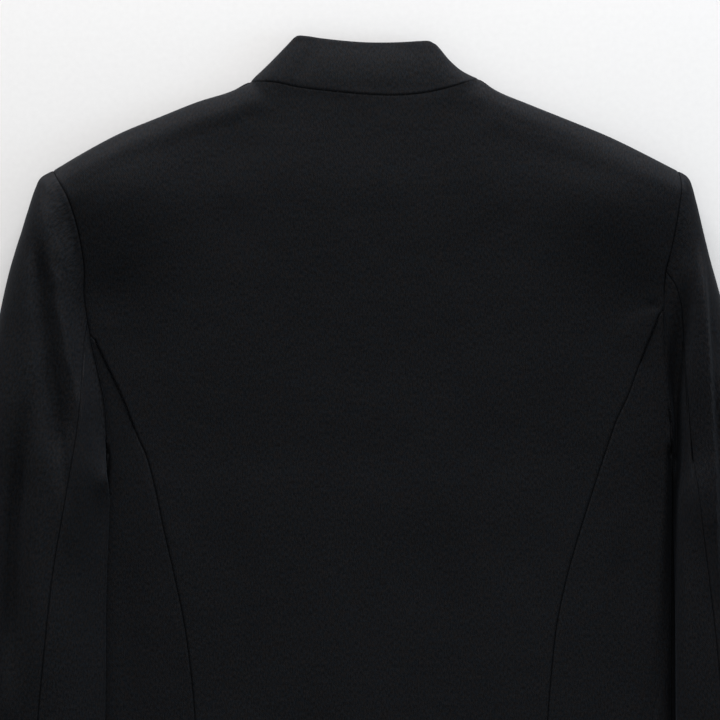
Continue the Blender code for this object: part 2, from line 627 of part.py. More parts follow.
def wall(name, outer, normals, thickness, material):
    """Closed wall between a grid of outer points and the same grid moved in by the thickness."""
    inner = outer - thickness * normals
    rows, columns = outer.shape[:2]
    count = rows * columns
    index = np.arange(count).reshape(rows, columns)
    corners = (index[:-1, :-1], index[:-1, 1:], index[1:, 1:], index[1:, :-1])
    quads = np.stack(corners, -1).reshape(-1, 4)
    rim = np.concatenate([index[0, :-1], index[:-1, -1], index[-1, :0:-1], index[:0:-1, 0]])
    after = np.roll(rim, -1)
    points = np.concatenate([outer.reshape(-1, 3), inner.reshape(-1, 3)]) * MM
    rim_faces = []
    for here, there in zip(rim.tolist(), after.tolist()):
        # both walls of a seam are split along the same diagonal
        if points[here, 1] < points[there, 1]:
            rim_faces += [(there, here, there + count), (here, here + count, there + count)]
        else:
            rim_faces += [(there, here, here + count), (there, here + count, there + count)]
    triangles = np.concatenate([quads[:, (0, 1, 2)], quads[:, (0, 2, 3)]])
    other_way = np.concatenate([quads[:, (0, 1, 3)], quads[:, (1, 2, 3)]])
    flat = outer.reshape(-1, 3)
    first = np.linalg.norm(flat[quads[:, 0]] - flat[quads[:, 2]], axis=1)
    second = np.linalg.norm(flat[quads[:, 1]] - flat[quads[:, 3]], axis=1)
    shorter = np.tile(second < first, 2)[:, None]
    triangles = np.where(shorter, other_way, triangles)
    faces = triangles.tolist() + (triangles[:, ::-1] + count).tolist() + rim_faces
    mesh = bpy.data.meshes.new(name)
    mesh.from_pydata(points.tolist(), [], faces)
    mesh.materials.append(material)
    mesh.shade_smooth()
    mesh.set_sharp_from_angle(angle=SHARP_ANGLE)
    bpy.context.scene.collection.objects.link(bpy.data.objects.new(name, mesh))


def cloth_material():
    material = bpy.data.materials.new("black_suiting")
    material.use_nodes = True
    shader = material.node_tree.nodes["Principled BSDF"]
    shader.inputs["Base Color"].default_value = CLOTH_COLOUR
    shader.inputs["Roughness"].default_value = CLOTH_ROUGHNESS
    shader.inputs["Metallic"].default_value = 0.0
    return material


def all_panels():
    """Grids of outer points of every piece, with columns ordered so that they face outwards."""
    panels = {"back": back_panel(), "collar": collar_band()}
    for side in SIDES:
        panels["side_back_" + side] = side_back_panel(side)
        panels["front_" + side] = front_panel(side)
        panels["top_sleeve_" + side], panels["under_sleeve_" + side] = sleeve_panels(side)
    for name in ("side_back_left", "front_right", "top_sleeve_right", "under_sleeve_right"):
        panels[name] = panels[name][:, ::-1]
    return panels


def main():
    for old in list(bpy.data.objects):
        bpy.data.objects.remove(old)
    suiting = cloth_material()
    panels = all_panels()
    normals = mitred(panels)
    for name, points in panels.items():
        thickness, gap = np.full((*points.shape[:2], 1), CLOTH), SEAM_GAP
        if name == "collar":
            thickness[1:], gap = COLLAR_CLOTH, NECK_GAP
        wall(name, parted(points, gap), normals[name], thickness, suiting)


main()
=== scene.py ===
import bpy
import numpy as np
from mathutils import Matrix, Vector, noise


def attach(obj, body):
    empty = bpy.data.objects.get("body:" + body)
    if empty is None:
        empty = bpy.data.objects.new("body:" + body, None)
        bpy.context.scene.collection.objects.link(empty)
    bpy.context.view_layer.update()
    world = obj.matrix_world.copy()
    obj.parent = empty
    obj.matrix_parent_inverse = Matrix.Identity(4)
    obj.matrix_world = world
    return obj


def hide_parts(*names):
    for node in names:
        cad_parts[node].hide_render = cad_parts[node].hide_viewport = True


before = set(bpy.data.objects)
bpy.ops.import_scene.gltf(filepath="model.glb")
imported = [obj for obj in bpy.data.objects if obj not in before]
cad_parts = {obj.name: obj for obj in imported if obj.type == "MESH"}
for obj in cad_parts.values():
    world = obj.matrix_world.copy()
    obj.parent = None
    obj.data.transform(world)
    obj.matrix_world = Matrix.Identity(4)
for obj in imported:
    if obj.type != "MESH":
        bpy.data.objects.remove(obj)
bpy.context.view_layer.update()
print("frame loaded:", len(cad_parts), "nodes")

mm = 0.001
sides = ("left", "right")
sign = {"left": -1, "right": 1}


# Lines and heights, in millimetres

def smooth(share):
    share = np.clip(share, 0.0, 1.0)
    return share * share * (3.0 - 2.0 * share)


def steps(count):
    return np.linspace(0, 1, count + 1)


def read(table, y):  # rows of (level, value), lowest level first
    levels, values = np.transpose(table)
    return np.interp(y, levels, values)


def unit(vectors):
    return vectors / np.maximum(np.linalg.norm(vectors, axis=-1, keepdims=True), 1e-9)


def spline(knots, station):
    knots = np.asarray(knots, float)
    ends = np.vstack([2 * knots[0] - knots[1], knots, 2 * knots[-1] - knots[-2]])
    low = np.minimum(station.astype(int), len(knots) - 2)
    t = (station - low)[:, None]
    a, b, c, d = (ends[low + k] for k in range(4))
    cubic = 2 * b + (c - a) * t + (2 * a - 5 * b + 4 * c - d) * t**2 + (3 * b - a - 3 * c + d) * t**3
    return cubic / 2


def lengthsAlong(line):
    return np.concatenate([[0], np.cumsum(np.linalg.norm(np.diff(line, axis=0), axis=1))])


def resampled(line, shares):
    along = lengthsAlong(line)
    wanted = np.asarray(shares, float) * along[-1]
    return np.column_stack([np.interp(wanted, along, line[:, k]) for k in range(line.shape[1])])


def curve(points, shares, knotSteps=40):
    station = np.linspace(0, len(points) - 1, knotSteps * (len(points) - 1) + 1)
    return resampled(spline(points, station), shares)


def nearest(x, y, line):  # distance to a line in plan, the side of it and the share along it
    best, side, share = np.full(x.shape, 1e9), np.zeros(x.shape), np.zeros(x.shape)
    for k, (a, b) in enumerate(zip(line[:-1], line[1:])):
        run = b - a
        t = np.clip(((x - a[0]) * run[0] + (y - a[1]) * run[1]) / (run @ run), 0, 1)
        offX, offY = x - a[0] - t * run[0], y - a[1] - t * run[1]
        far = np.hypot(offX, offY)
        closer = far < best
        best = np.where(closer, far, best)
        side = np.where(closer, np.sign(run[0] * offY - run[1] * offX), side)
        share = np.where(closer, (k + t) / (len(line) - 1), share)
    return best, side, share


def distance(x, y, line):
    return nearest(x, y, line)[0]


def rounded(far, reach):  # quarter-ellipse rise from a folded edge
    return np.sqrt(1.0 - (1.0 - np.clip(far / reach, 0.0, 1.0)) ** 2)


bodyForm = {
    "hemY": -184.0, "underarmY": 75.0,
    "loft": ((-367, 14.0), (-184, 14.5), (-60, 17.0), (75, 20.5), (180, 25.0), (260, 28.0), (340, 25.0)),
    "sideFall": 0.12, "halfWidth": 210.0,
    "padRise": 8.5, "padPlace": (188.0, 252.0), "padSpread": (56.0, 46.0),
    # where the left sleeve presses on it
    "pressShare": 0.08, "pressPlace": (-191.0, 60.0), "pressSpread": (8.0, 24.0),
    "edgeShare": 0.34, "underarmShare": {"left": 0.9, "right": 0.6},
    "underarmReach": {"left": 30.0, "right": 16.0}, "seamBlend": 8.0,
    "shoulderRound": 16.0, "lowerRound": 10.0,
    "sideRound": {"left": (8.0, 2.5), "right": (13.0, 5.5)}, "sideRoundY": (-60, 75),
    "shoulder": {
        "left": ((-83, 336), (-97, 329.5), (-118, 323), (-172.5, 301), (-193, 291), (-207, 282.3),
                 (-222, 273.5)),
        "right": ((78, 338), (90, 330.5), (106.5, 323.4), (162, 301), (185.5, 290.3), (207, 279),
                  (219, 273)),
    },
    "neck": ((-83, 336), (-62, 334), (-49, 331), (-17.5, 327.2), (11, 325.3), (32, 326), (54, 330),
             (72, 336), (78, 338)),
    "frontNeck": {
        "left": ((-83, 336), (-73, 300), (-50, 262), (-26, 238), (-1, 230)),
        "right": ((78, 338), (69, 300), (48, 262), (25, 238), (1, 230)),
    },
    "armhole": {
        "left": ((-222, 273.5), (-211.5, 257), (-206, 243), (-202, 227), (-199.2, 212), (-198.7, 199),
                 (-199, 182), (-195.2, 158), (-189.8, 134), (-185.0, 112), (-183.4, 92), (-183.2, 75)),
        "right": ((219, 273), (219.6, 261.4), (217.7, 247.5), (214.9, 230.3), (211.3, 213.2),
                  (208.6, 202.4), (207.8, 190), (207.5, 176), (207.9, 152), (208.8, 132), (211.0, 112),
                  (213.2, 93), (214, 75)),
    },
    "frontArmhole": {
        "left": ((-222, 273.5), (-207, 245), (-195, 205), (-187, 160), (-183.4, 120), (-182.9, 95),
                 (-183.2, 75)),
        "right": ((219, 273), (209, 245), (206, 205), (206.5, 160), (210.4, 120), (213.3, 95),
                  (214, 75)),
    },
    "sideBackSeam": {
        "left": ((-191.6, 154), (-183.4, 137), (-174, 117.6), (-161, 84.7), (-153.5, 67), (-146.7, 35.7),
                 (-138.7, 0), (-130.6, -37), (-124.5, -80), (-120.5, -130), (-119, -184)),
        "right": ((204.4, 171.5), (199, 160), (190.4, 137), (183.7, 117.6), (175.6, 100.8),
                  (168.4, 80.5), (153.9, 35.7), (142.7, -1.4), (133.7, -40), (129, -80), (125.5, -130),
                  (124, -184)),
    },
    "apexY": {"left": 158, "right": 176}, "sideBackColumns": 10,
    "sideEdge": {
        "left": ((-183.2, 75), (-183.7, 69), (-184.2, 62), (-184.6, 55), (-186.2, 46), (-189.5, 31),
                 (-194.5, 10), (-199, -25), (-200.5, -80), (-200, -184)),
        "right": ((214, 75), (214.4, 69), (214.8, 60), (214.7, 45), (214.3, 20), (214.1, -20),
                  (214.2, -70), (214.2, -110), (213.8, -150), (212.4, -184)),
    },
    # how far the side seam lies in from the folded side
    "sideSeam": ((-184, 24.0), (-110, 14.0), (-80, 6.5), (-45, 2.4), (-10, 0.9), (25, 0.25), (52, 0.05),
                 (75, 0.0)),
    "levels": (-184, -150, -115, -80, -45, -10, 25, 52, 75, 84, 97, 114, 134),
    "neckShares": (0, 0.014, 0.05, 0.11, 0.2, 0.35, 0.5, 0.65, 0.8, 0.89, 0.95, 0.986, 1),
    "shoulderShares": (0, 0.1, 0.25, 0.45, 0.65, 0.85, 1),
}

sleeveForm = {
    "loft": ((-367, 27.0), (-260, 33.0), (-184, 38.0), (-60, 43.5), (75, 46.0), (180, 44.0), (260, 39.0),
             (340, 36.0)),
    # distance over which it swells from the body's height to its own
    "swell": {
        "left": ((75, 16.0), (190, 18.0), (270, 30.0)),
        "right": ((75, 34.0), (190, 34.0), (270, 34.0)),
    },
    # the left sleeve climbs on to the body's side and comes down past the hem
    "climb": 23.0, "climbWidth": 20.0, "climbClear": 4.0, "descent": 40.0, "clear": 1.2,
    "outerRound": (34.0, 16.0), "outerRoundY": (150, 265),
    # inner fold: height of its widest point, its foot, the reach of its rounded edge and of the slope
    # behind that, and the edge's share of the rise
    "innerEdge": {"left": 2.6, "right": 3.0}, "innerEdgeReach": 30.0,
    "innerFoot": {"left": 0.0, "right": 1.3},
    "innerRound": {"left": (3.5, 6.0), "right": (6.0, 9.0)},
    "innerSlope": (36.0, 15.0), "innerRoundY": (0, 75), "edgeRise": {"left": 0.22, "right": 0.5},
    # outer fold, hind-arm seam and inner fold of each section, from armhole to cuff
    "sections": {
        "left": (
            (-222.0, 273.5, -196.6, 166, -183.2, 75), (-229.5, 269.3, -198.1, 157, -183.2, 69.5),
            (-233.8, 261.5, -198.9, 147, -182.6, 64.5), (-243.0, 232.0, -199.2, 129, -181.8, 58),
            (-252.0, 202.0, -199.8, 110, -181.3, 49), (-260.0, 165.0, -202.2, 89, -181.2, 38),
            (-267.0, 122.0, -206.5, 63, -181.8, 24), (-272.5, 70.0, -212.3, 30, -182.8, 4),
            (-275.0, 10.0, -219.0, -10, -183.6, -28), (-275.0, -60.0, -225.5, -70, -184.3, -78),
            (-272.0, -130.0, -231.0, -133, -184.5, -137), (-267.0, -200.0, -234.0, -200, -183.5, -203),
            (-260.0, -275.0, -233.5, -273, -177.0, -270), (-250.0, -367.0, -228.0, -363, -158.0, -351),
        ),
        "right": (
            (219.0, 273.0, 208.7, 202.5, 214.0, 75), (224.5, 269.3, 212.6, 197, 214.2, 69.5),
            (228.3, 262.0, 216.2, 190.5, 214.2, 64.5), (233.8, 240.0, 219.8, 177, 214.2, 58),
            (240.0, 212.0, 221.6, 156, 214.15, 50), (248.5, 180.0, 222.9, 131, 214.05, 41),
            (258.0, 145.0, 224.6, 103, 213.85, 30), (267.0, 105.0, 227.2, 72, 213.7, 16),
            (275.5, 57.0, 231.5, 33, 213.55, -6), (283.0, 0.0, 237.5, -15, 213.5, -42),
            (287.5, -70.0, 244.0, -75, 213.6, -93), (287.0, -140.0, 249.5, -142, 213.2, -150),
            (281.0, -210.0, 252.0, -208, 211.5, -208), (271.0, -282.0, 249.0, -278, 202.0, -268),
            (255.0, -367.0, 236.0, -363, 169.0, -350),
        ),
    },
    "rowsPerSection": 2, "armholeSections": 6, "fullSlant": 90.0, "forearmShare": 0.68,
    "relaxReach": 12.0, "relaxRounds": 6,
    "topShares": (0, 0.025, 0.09, 0.19, 0.32, 0.48, 0.65, 0.83, 1),
    "apexSteps": 2, "underarmShares": (0, 0.34, 0.6, 0.8, 0.93, 1),
    "innerShares": (0, 0.2, 0.4, 0.58, 0.75, 0.88, 0.97, 1),
    "underShares": (0, 0.02, 0.07, 0.15, 0.3, 0.5, 0.7, 0.86, 1),
    "underInnerShares": (0, 0.4, 0.72, 0.93, 1),
}

# Large folds that the solids have: three points from the top down, height, spread to the left and
# to the right
largeFolds = {
    "left": (
        ((-231, 240), (-222, 160), (-210, 56), -5.0, 8, 9),
        ((-239, 112), (-247, 20), (-249, -95), -5.0, 8, 9),
        ((-224, 20), (-231, -120), (-236, -250), 2.5, 10, 10),
    ),
    "right": (
        ((231, 236), (224, 150), (216, -40), -5.0, 9, 8),
        ((236, 236), (240, 140), (247, 10), 5.0, 14, 10),
        ((258, -60), (262, -150), (262, -250), -4.5, 9, 9),
    ),
    "body": (
        ((-176, 214), (-180, 192), (-180, 165), -1.6, 16, 16),
        ((190, 210), (191, 192), (188, 168), -1.4, 14, 14),
    ),
}
foldFade = 0.3  # share of a fold's length over which each end dies away

fineSteps = 300  # on each line that distances are taken from
lines = {}
for side in sides:
    sections = np.array(sleeveForm["sections"][side])
    lines[side] = {
        "shoulder": curve(bodyForm["shoulder"][side], steps(fineSteps)),
        "side": curve(bodyForm["sideEdge"][side], steps(fineSteps)),
        "armhole": curve(bodyForm["armhole"][side], steps(fineSteps)),
        "outer": curve(sections[:, 0:2], steps(fineSteps)),
        "inner": curve(sections[:, 4:6], steps(fineSteps)),
    }


def edgeX(side, y):
    line = lines[side]["side"][::-1]
    return np.interp(y, line[:, 1], line[:, 0])


def foldHeight(region, x, y):
    total = np.zeros_like(x)
    for top, middle, low, height, leftSpread, rightSpread in largeFolds[region]:
        places, levels = np.transpose((top, middle, low))
        off = x - np.polyval(np.polyfit(levels, places, 2), y)
        along = (top[1] - y) / (top[1] - low[1])
        strength = smooth(along / foldFade) * smooth((1 - along) / foldFade)
        total += height * strength * np.exp(-((off / np.where(off < 0, leftSpread, rightSpread)) ** 2))
    return total


def bodyLoft(x, y):
    height = read(bodyForm["loft"], y) * (1 - bodyForm["sideFall"] * (x / bodyForm["halfWidth"]) ** 2)
    (padX, padY), (spreadX, spreadY) = bodyForm["padPlace"], bodyForm["padSpread"]
    away = ((np.abs(x) - padX) / spreadX) ** 2 + ((y - padY) / spreadY) ** 2
    height = height + bodyForm["padRise"] * np.exp(-away) + foldHeight("body", x, y)
    (pressX, pressY), (spreadX, spreadY) = bodyForm["pressPlace"], bodyForm["pressSpread"]
    away = ((x - pressX) / spreadX) ** 2 + ((y - pressY) / spreadY) ** 2
    return height * (1 - bodyForm["pressShare"] * np.exp(-away))


def sleeveLoft(side, x, y):
    own = read(sleeveForm["loft"], y) + foldHeight(side, x, y)
    share = smooth(distance(x, y, lines[side]["armhole"]) / read(sleeveForm["swell"][side], y))
    return bodyLoft(x, y) * (1 - share) + own * share


def sleeveGround(side, x, y):
    if side == "right":
        return np.zeros_like(x)
    hem, underarm, clear = bodyForm["hemY"], bodyForm["underarmY"], sleeveForm["climbClear"]
    along = smooth((underarm - y) / sleeveForm["climb"])
    along = along * smooth((y - hem + clear) / sleeveForm["descent"] + 1)
    before = edgeX(side, np.clip(y, hem, underarm)) - clear
    across = smooth((x - before) / sleeveForm["climbWidth"] + 1)
    return (bodyLoft(x, np.maximum(y, hem)) + sleeveForm["clear"]) * along * across


def fromArmhole(side, x, y):  # 0 at the armhole, where sleeve and body have the same height
    return smooth(distance(x, y, lines[side]["armhole"]) / bodyForm["seamBlend"])


def edgeFactor(region, side, x, y):
    outline = lines[side]
    rise = rounded(distance(x, y, outline["shoulder"]), bodyForm["shoulderRound"])
    outerRound = np.interp(y, sleeveForm["outerRoundY"], sleeveForm["outerRound"])
    rise = rise * rounded(distance(x, y, outline["outer"]), outerRound)
    sideRound = np.interp(y, bodyForm["sideRoundY"], bodyForm["sideRound"][side])
    bodySide = rounded(distance(x, y, outline["side"]), sideRound)
    if region == "body":
        return rise * bodySide
    innerRound, innerSlope = (
        np.interp(y, sleeveForm["innerRoundY"], reach)
        for reach in (sleeveForm["innerRound"][side], sleeveForm["innerSlope"]))
    far = np.maximum(distance(x, y, outline["inner"]) - sleeveForm["innerFoot"][side], 0)
    share, own = sleeveForm["edgeRise"][side], fromArmhole(side, x, y)
    inner = share * rounded(far, innerRound) + (1 - share) * smooth(far / innerSlope)
    return rise * (own * inner + (1 - own) * bodySide)


def heights(region, side, x, y):  # ground, height of the folded edge, and loft
    underarmX, underarmY = bodyForm["sideEdge"][side][0]
    away = ((x - underarmX) ** 2 + (y - underarmY) ** 2) / bodyForm["underarmReach"][side] ** 2
    gathered, share = np.exp(-away), bodyForm["edgeShare"]
    share = share + (bodyForm["underarmShare"][side] - share) * gathered
    if region == "body":
        loft = bodyLoft(x, y)
        return np.zeros_like(x), share * loft, loft
    loft, ground = sleeveLoft(side, x, y), sleeveGround(side, x, y)
    rise, low = share * (loft - ground), sleeveForm["innerEdge"][side]
    near = smooth(distance(x, y, lines[side]["inner"]) / sleeveForm["innerEdgeReach"])
    near = np.maximum(np.maximum(near, gathered), 1 - fromArmhole(side, x, y))
    return ground, ground + np.minimum(rise, low + (rise - low) * near), loft


def upperLayer(region, side, plan):
    x, y = plan[..., 0], plan[..., 1]
    _, edge, loft = heights(region, side, x, y)
    height = edge + (loft - edge) * edgeFactor(region, side, x, y)
    return np.concatenate([plan, height[..., None]], -1)


def lowerLayer(region, side, plan):
    x, y = plan[..., 0], plan[..., 1]
    ground, edge, _ = heights(region, side, x, y)
    names = ("shoulder", "outer", "side" if region == "body" else "inner")
    far = np.min([distance(x, y, lines[side][name]) for name in names], axis=0)
    height = edge + (ground - edge) * rounded(far, bodyForm["lowerRound"])
    return np.concatenate([plan, height[..., None]], -1)


def bodyUpper(plan):
    points = upperLayer("body", "left", plan)
    onRight = plan[..., 0] >= 0
    points[onRight] = upperLayer("body", "right", plan[onRight])
    return points


# Panels as grids of points, along the lines of the solids

def sharesOf(line):
    along = lengthsAlong(line)
    return along / along[-1]


def blendedPatch(bottom, top, left, right):
    v = ((sharesOf(left) + sharesOf(right)) / 2)[:, None, None]
    u = (1 - v) * sharesOf(bottom)[None, :, None] + v * sharesOf(top)[None, :, None]
    across = (1 - u) * left[:, None] + u * right[:, None]
    along = (1 - v) * bottom[None] + v * top[None]
    corners = (1 - u) * ((1 - v) * bottom[0] + v * top[0]) + u * ((1 - v) * bottom[-1] + v * top[-1])
    return across + along - corners


def relaxed(points, side, reach, rounds):  # evens a panel out around the underarm
    away = np.linalg.norm(points[..., :2] - bodyForm["sideEdge"][side][0], axis=-1, keepdims=True)
    share = np.exp(-((away / reach) ** 2))[1:-1, 1:-1]
    points = points.copy()
    for _ in range(rounds):
        around = points[:-2, 1:-1] + points[2:, 1:-1] + points[1:-1, :-2] + points[1:-1, 2:]
        points[1:-1, 1:-1] += share * (around / 4 - points[1:-1, 1:-1])
    return points


def armholePoints(side):
    levels = lines[side]["armhole"][:, 1]
    hind = np.abs(levels - sleeveForm["sections"][side][0][3]).argmin() / fineSteps
    apex = np.abs(levels - bodyForm["apexY"][side]).argmin() / fineSteps
    shares = [hind * np.array(sleeveForm["topShares"])]
    shares.append(np.linspace(hind, apex, sleeveForm["apexSteps"] + 1)[1:])
    shares.append(apex + (1 - apex) * np.array(sleeveForm["underarmShares"][1:]))
    return curve(bodyForm["armhole"][side], np.concatenate(shares))


def frontArmholePoints(side):
    forearm = sleeveForm["forearmShare"]
    below = forearm + (1 - forearm) * np.array(sleeveForm["underInnerShares"][1:])
    shares = np.concatenate([forearm * np.array(sleeveForm["underShares"]), below])
    return curve(bodyForm["frontArmhole"][side], shares)


def sideBackPoints(side):
    seam = bodyForm["sideBackSeam"][side]
    line = curve(seam, steps(fineSteps))[::-1]
    levels = np.append(bodyForm["levels"], seam[0][1])
    return np.column_stack([np.interp(levels, line[:, 1], line[:, 0]), levels])


def backPanel():
    shoulders = {side: curve(bodyForm["shoulder"][side], bodyForm["shoulderShares"]) for side in sides}
    neck = curve(bodyForm["neck"], bodyForm["neckShares"])
    top = np.vstack([shoulders["left"][:0:-1], neck, shoulders["right"][1:]])
    lowerRows = np.linspace(*[sideBackPoints(side) for side in sides], len(top), axis=1)
    apex = len(sleeveForm["topShares"]) + sleeveForm["apexSteps"]
    holes = [armholePoints(side)[:apex][::-1] for side in sides]
    bottom = np.linspace(holes[0][0], holes[1][0], len(top))
    return bodyUpper(np.concatenate([lowerRows, blendedPatch(bottom, top, *holes)]))


def sideBackPanel(side):
    hole = armholePoints(side)[len(sleeveForm["topShares"]) + sleeveForm["apexSteps"] - 1:][::-1]
    below = np.array([level for level in bodyForm["levels"] if level < bodyForm["underarmY"]], float)
    seamX = edgeX(side, below) - sign[side] * read(bodyForm["sideSeam"], below)
    outer = np.vstack([np.column_stack([seamX, below]), hole])
    plan = np.linspace(sideBackPoints(side), outer, bodyForm["sideBackColumns"] + 1, axis=1)
    return upperLayer("body", side, plan)


frontForm = {
    "lap": 12.0, "lapRise": 2.1, "lapRiseOver": 30.0, "lapClear": 24.0,
    "neckShares": (0, 0.02, 0.07, 0.16, 0.36, 0.66, 1),
    "flatColumns": 8, "wrapShares": (0.22, 0.44, 0.66, 0.84, 1), "turnSteps": 20,
    "relaxReach": 9.0, "relaxRounds": 24,
}


def lapRise(x):  # the left front lies on the right one
    start = x + frontForm["lap"] + frontForm["lapClear"]
    return frontForm["lapRise"] * smooth(start / frontForm["lapRiseOver"] + 1)


def frontRow(side, level):
    edge, inside = edgeX(side, level), read(bodyForm["sideSeam"], level)
    out, reach = sign[side], bodyForm["lowerRound"]
    flatX = np.linspace(-out * frontForm["lap"], edge - out * reach, frontForm["flatColumns"] + 1)
    turn = np.linspace(0, np.pi / 2, frontForm["turnSteps"])
    underX = edge - out * reach * (1 - np.sin(turn))
    flat = lowerLayer("body", side, np.column_stack([flatX, np.full_like(flatX, level)]))
    wrap = lowerLayer("body", side, np.column_stack([underX, np.full_like(underX, level)]))
    if inside > 0:
        overX = edge - out * inside * (1 - np.cos(turn))[1:]
        over = upperLayer("body", side, np.column_stack([overX, np.full_like(overX, level)]))
        wrap = np.vstack([wrap, over])
    return np.vstack([flat, resampled(wrap, frontForm["wrapShares"])])


def frontPanel(side):
    below = [float(level) for level in bodyForm["levels"] if level <= bodyForm["underarmY"]]
    lowerRows = np.array([frontRow(side, level) for level in below])
    hole = frontArmholePoints(side)[::-1]
    neck = curve(bodyForm["frontNeck"][side], frontForm["neckShares"])[::-1]
    start = (-sign[side] * frontForm["lap"], neck[0, 1])
    top = np.vstack([start, neck, curve(bodyForm["shoulder"][side], bodyForm["shoulderShares"])[1:]])
    centre = np.linspace((start[0], bodyForm["underarmY"]), start, len(hole))
    upperRows = blendedPatch(lowerRows[-1, :, :2], top, centre, hole)
    points = np.concatenate([lowerRows, lowerLayer("body", side, upperRows[1:])])
    points = relaxed(points, side, frontForm["relaxReach"], frontForm["relaxRounds"])
    if side == "left":
        points[..., 2] += lapRise(points[..., 0])
    return points


def sleeveLayer(outer, middle, inner, hole, first, second):
    first, second = np.array(first)[None, :, None], np.array(second)[None, 1:]
    # a slanting row runs along the sleeve first and then turns in to the fold
    slant = np.clip(np.abs(middle - inner)[:, 1:] / sleeveForm["fullSlant"], 0, 1)
    turned = np.stack([second ** (1 + slant), 1 - (1 - second) ** (1 + slant)], -1)
    across = np.concatenate([
        outer[:, None] + first * (middle - outer)[:, None],
        middle[:, None] + turned * (inner - middle)[:, None],
    ], axis=1)
    past = np.arange(len(outer)) / (sleeveForm["armholeSections"] * sleeveForm["rowsPerSection"])
    keep = (1 - np.minimum(past, 1)) ** 2
    return across + keep[:, None, None] * (hole - across[0])


def sleevePanels(side):
    sections = sleeveForm["sections"][side]
    last = len(sections) - 1
    station = np.linspace(0, last, last * sleeveForm["rowsPerSection"] + 1)
    rows = spline(sections, station).reshape(-1, 3, 2)
    outer, hind, inner = rows.transpose(1, 0, 2)
    forearm = outer + sleeveForm["forearmShare"] * (inner - outer)
    topShares, underShares = sleeveForm["topShares"], sleeveForm["underShares"]
    over = sleeveLayer(outer, hind, inner, armholePoints(side), topShares, sleeveForm["innerShares"])
    below = sleeveLayer(
        outer, forearm, inner, frontArmholePoints(side), underShares, sleeveForm["underInnerShares"])
    over, below = upperLayer("sleeve", side, over), lowerLayer("sleeve", side, below)
    hindColumn, forearmColumn = len(topShares) - 1, len(underShares) - 1
    topSleeve = np.concatenate([over[:, hindColumn::-1], below[:, 1:forearmColumn + 1]], axis=1)
    underSleeve = np.concatenate([below[:, forearmColumn:-1], over[:, :hindColumn - 1:-1]], axis=1)
    return topSleeve, relaxed(underSleeve, side, sleeveForm["relaxReach"], sleeveForm["relaxRounds"])


collarForm = {
    "top": ((-54, 364.8), (-50.6, 368.1), (-42.4, 367.9), (-32.6, 366.4), (-14.7, 364.5), (4, 363.4),
            (25, 363.8), (43, 364.6), (48, 362.5)),
    "frontTop": {
        "left": ((-54, 364.8), (-47, 335), (-33, 300), (-17, 279), (-1, 271)),
        "right": ((48, 362.5), (43, 335), (31, 300), (16, 279), (1, 271)),
    },
    "shares": (0, 0.08, 0.3, 0.6, 0.88, 1),
    "loft": 17.0, "edge": 7.0, "round": 9.0, "swell": 2.2,
    "curveIn": {"left": 0.5, "right": 3.6}, "curveReach": 30.0, "curveSlope": 0.6,
}


def collarBand():
    neckShares, shares = np.array(bodyForm["neckShares"]), np.array(collarForm["shares"])
    backSeam, backFree = curve(bodyForm["neck"], neckShares), curve(collarForm["top"], neckShares)
    corners = {"left": backFree[0], "right": backFree[-1]}
    seams, edges = {}, {}
    for side in sides:
        neck = curve(bodyForm["frontNeck"][side], frontForm["neckShares"])
        seams[side] = lowerLayer("body", side, neck)
        free = curve(collarForm["frontTop"][side], frontForm["neckShares"])
        fall = 1 - rounded(np.linalg.norm(free - corners[side], axis=1), collarForm["round"])
        edges[side] = np.column_stack([free, collarForm["edge"] * fall])
        if side == "left":
            seams[side][:, 2] += lapRise(seams[side][:, 0])
            edges[side][:, 2] += lapRise(edges[side][:, 0])
    toCorner = np.min([np.linalg.norm(backFree - corners[side], axis=1) for side in sides], axis=0)
    rise = (collarForm["loft"] - collarForm["edge"]) * rounded(toCorner, collarForm["round"])
    backEdge = np.column_stack([backFree, collarForm["edge"] + rise])
    seam = np.vstack([seams["left"][:0:-1], bodyUpper(backSeam), seams["right"][1:]])
    edge = np.vstack([edges["left"][:0:-1], backEdge, edges["right"][1:]])
    rows = np.array([seam * (1 - share) + edge * share for share in shares])
    bow = np.sin(np.pi * shares)[:, None]
    start = len(frontForm["neckShares"]) - 1
    swell = np.zeros(len(seam))
    swell[start:start + len(neckShares)] = collarForm["swell"] * np.sqrt(np.sin(np.pi * neckShares))
    rows[..., 2] += bow * swell
    for side in sides:
        beside = (rows[..., 0] - bodyForm["shoulder"][side][0][0]) / collarForm["curveReach"]
        drawnIn = collarForm["curveIn"][side] * np.exp(-(beside**2)) * bow
        rows[..., 0] -= sign[side] * drawnIn
        rows[..., 1] -= collarForm["curveSlope"] * drawnIn
    return rows


# Cloth: each panel sampled finely, creased, dipped at its seams and given its thickness

